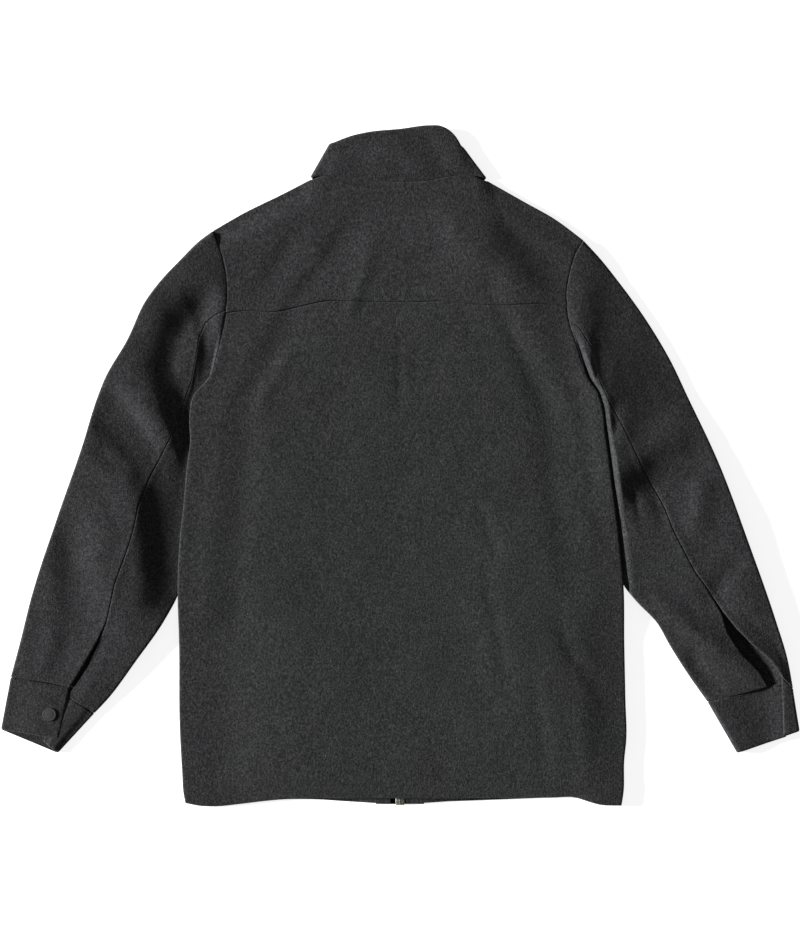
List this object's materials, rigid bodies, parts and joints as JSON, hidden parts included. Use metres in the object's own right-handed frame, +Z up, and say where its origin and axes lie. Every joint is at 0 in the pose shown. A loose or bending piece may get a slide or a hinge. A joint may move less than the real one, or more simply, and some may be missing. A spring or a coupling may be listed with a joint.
{
  "type": "stand-collar wool coat",
  "caption": "Hip-length charcoal wool coat laid flat, face down: stand collar, back yoke, set-in sleeves with snap cuffs, front zip under a placket.",
  "frame": {"origin": "middle of the laid-out coat's footprint, on the surface that it lies on", "axes": "+X across the coat towards the wearer's right sleeve, +Y from the hem to the collar, +Z up from the surface, out of the coat's back"},
  "size_m": [0.9976, 0.8507, 0.0199],
  "materials": {
    "wool": "fulled charcoal melange wool",
    "zip_tape": "woven tape",
    "zip_metal": "satin nickel",
    "snap": "matt grey enamel"
  },
  "bodies": {
    "coat": {"back_panel": "wool", "back_yoke": "wool", "collar": "wool", "cuff_left": "wool", "cuff_right": "wool", "front_left": "wool", "front_placket": "wool", "front_right": "wool", "snap_left": "snap", "snap_right": "snap", "top_sleeve_left": "wool", "top_sleeve_right": "wool", "under_sleeve_left": "wool", "under_sleeve_right": "wool", "zip_box": "zip_metal", "zip_chain": "zip_metal", "zip_slider": "zip_metal", "zip_tape_left": "zip_tape", "zip_tape_right": "zip_tape"},
    "pull_tab": {"zip_pull_tab": "zip_metal"}
  },
  "joints": [
    {"name": "pull_tab_swing", "type": "hinge", "parent": "coat", "child": "pull_tab", "pos_m": [-0.00025, 0.3259, 0.0007], "axis": [1, 0, 0], "range_deg": [0, 180]}
  ]
}
